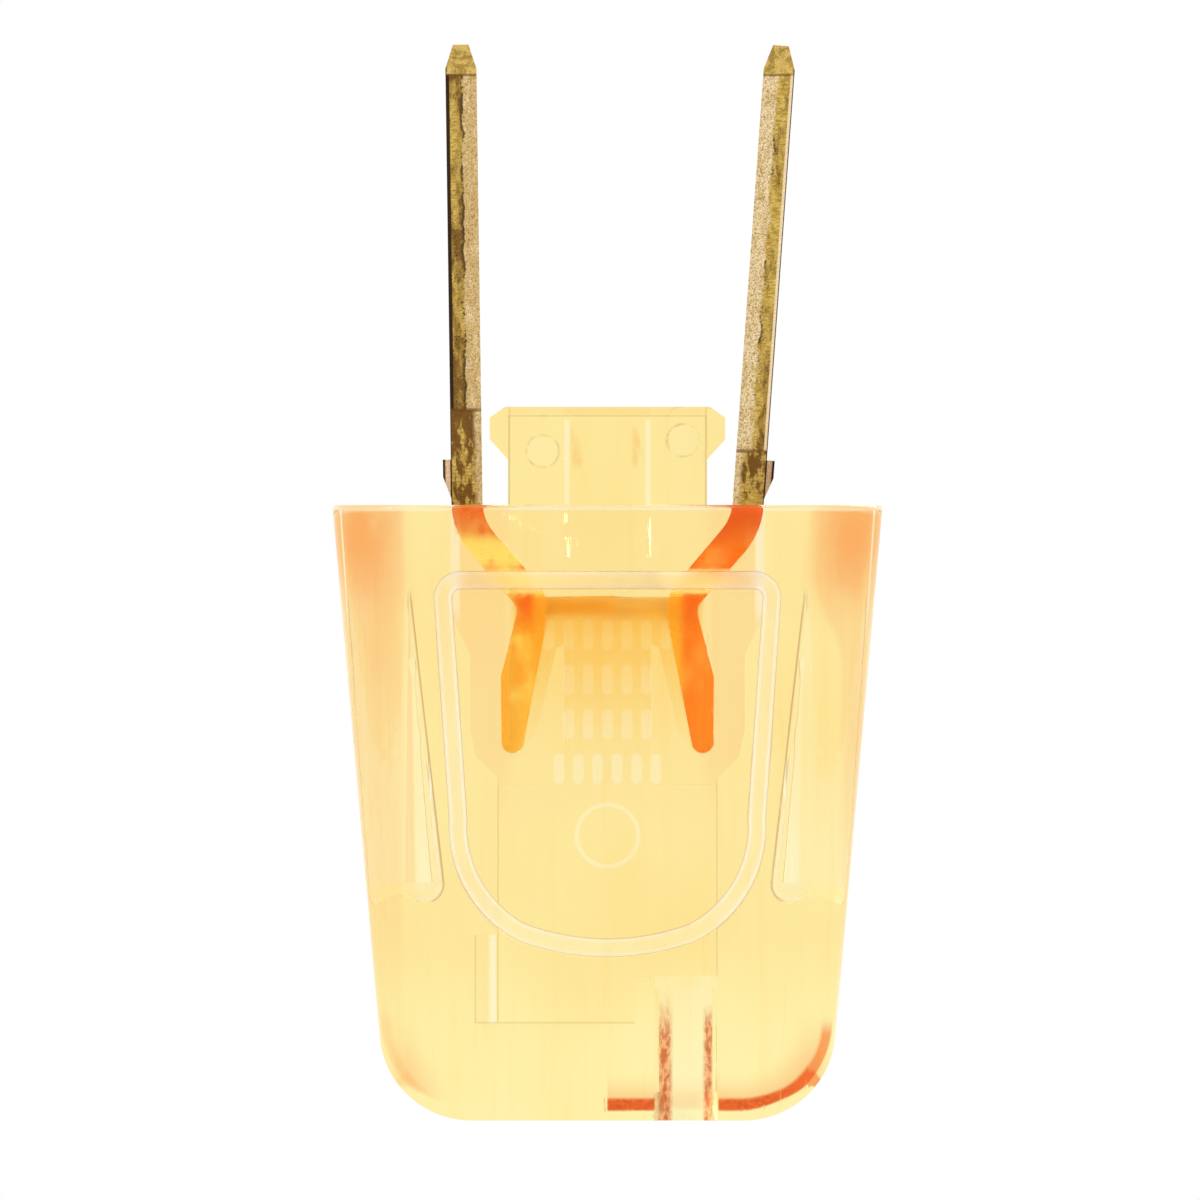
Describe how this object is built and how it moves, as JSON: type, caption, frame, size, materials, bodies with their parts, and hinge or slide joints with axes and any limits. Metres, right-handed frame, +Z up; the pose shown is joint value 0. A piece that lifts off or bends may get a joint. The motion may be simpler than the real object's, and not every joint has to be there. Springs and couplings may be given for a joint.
{
  "type": "two-blade mains plug",
  "caption": "Clear quick-connect plug for flat cord: tapered shell, sliding core and blades whose teeth pierce the cord.",
  "frame": {"origin": "middle of the flat foot that the plug stands on, on the cord side", "axes": "+Z up towards the blade tips, +X across the two blades towards the cord slot, front panel with the ring at -Y"},
  "size_m": [0.0254, 0.0128, 0.0498],
  "materials": {
    "shell_plastic": "clear amber moulding, polished",
    "insert_plastic": "clear pale amber moulding, polished",
    "blade_brass": "aged brass strip, tarnished in patches"
  },
  "bodies": {
    "housing": {"housing": "shell_plastic"},
    "insert": {"insert": "insert_plastic"},
    "blade_left": {"blade_left": "blade_brass"},
    "blade_right": {"blade_right": "blade_brass"}
  },
  "joints": [
    {"name": "insert_slide", "type": "slide", "parent": "housing", "child": "insert", "axis": [0, 0, 1], "range_m": [-0.00454, 0.012]},
    {"name": "left_blade_hinge", "type": "hinge", "parent": "insert", "child": "blade_left", "pos_m": [-0.0044, 0, 0.01744], "axis": [0, -1, 0], "range_deg": [-0.8, 2.12]},
    {"name": "right_blade_hinge", "type": "hinge", "parent": "insert", "child": "blade_right", "pos_m": [0.0044, 0, 0.01744], "axis": [0, 1, 0], "range_deg": [-1.9, 5.03]}
  ],
  "couplings": [
    {"joint": "left_blade_hinge", "follows": "insert_slide", "rad_per_m": 3.075},
    {"joint": "right_blade_hinge", "follows": "insert_slide", "rad_per_m": 7.3}
  ]
}
